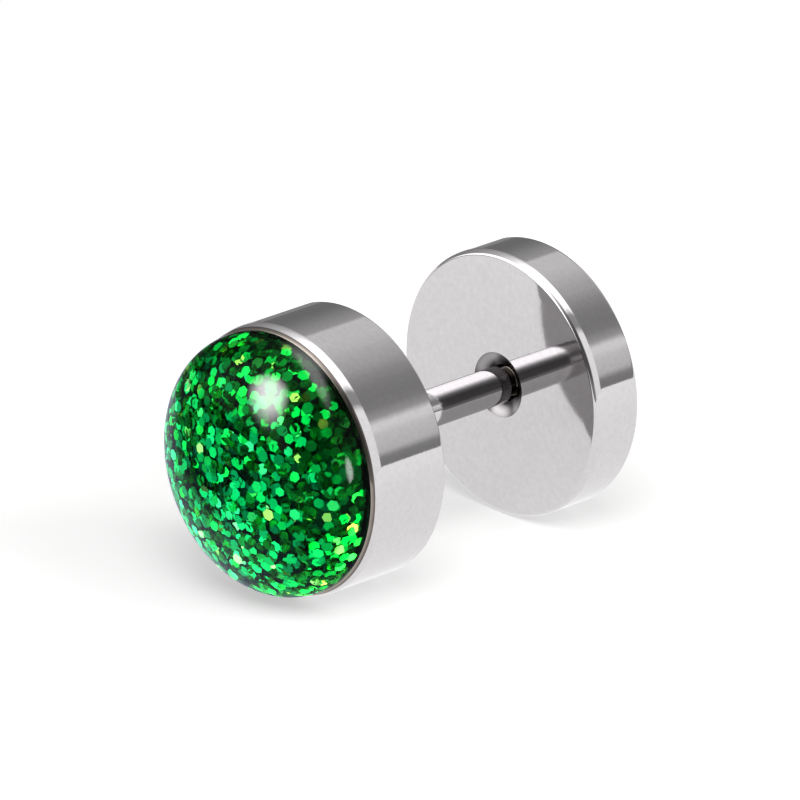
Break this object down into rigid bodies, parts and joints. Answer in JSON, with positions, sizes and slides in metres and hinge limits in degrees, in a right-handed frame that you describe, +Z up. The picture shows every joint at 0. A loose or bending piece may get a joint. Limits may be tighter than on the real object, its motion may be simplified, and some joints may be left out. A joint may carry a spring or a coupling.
{
  "type": "screw-back stud earring",
  "caption": "Screw-back stud earring: a polished steel cup filled with glitter under a clear dome, a thin post soldered to it, and a plain steel disc that closes it behind the ear.",
  "frame": {"origin": "on the ground under the middle of the stud's length, as it lies on the rims of its two discs", "axes": "+Z up, +Y along the post from the domed front towards the back disc, +X to the right when looking along +Y"},
  "size_m": [0.008, 0.0126, 0.008],
  "materials": {
    "steel": "polished",
    "resin": "gloss",
    "glitter": "gloss"
  },
  "bodies": {
    "front": {"front_cup": "steel", "glitter_bed": "glitter", "resin_dome": "resin"},
    "back": {"back_disc": "steel"}
  },
  "joints": [
    {"name": "back_unscrews", "type": "slide", "parent": "front", "child": "back", "axis": [0, 1, 0], "range_m": [0, 0.008]}
  ]
}
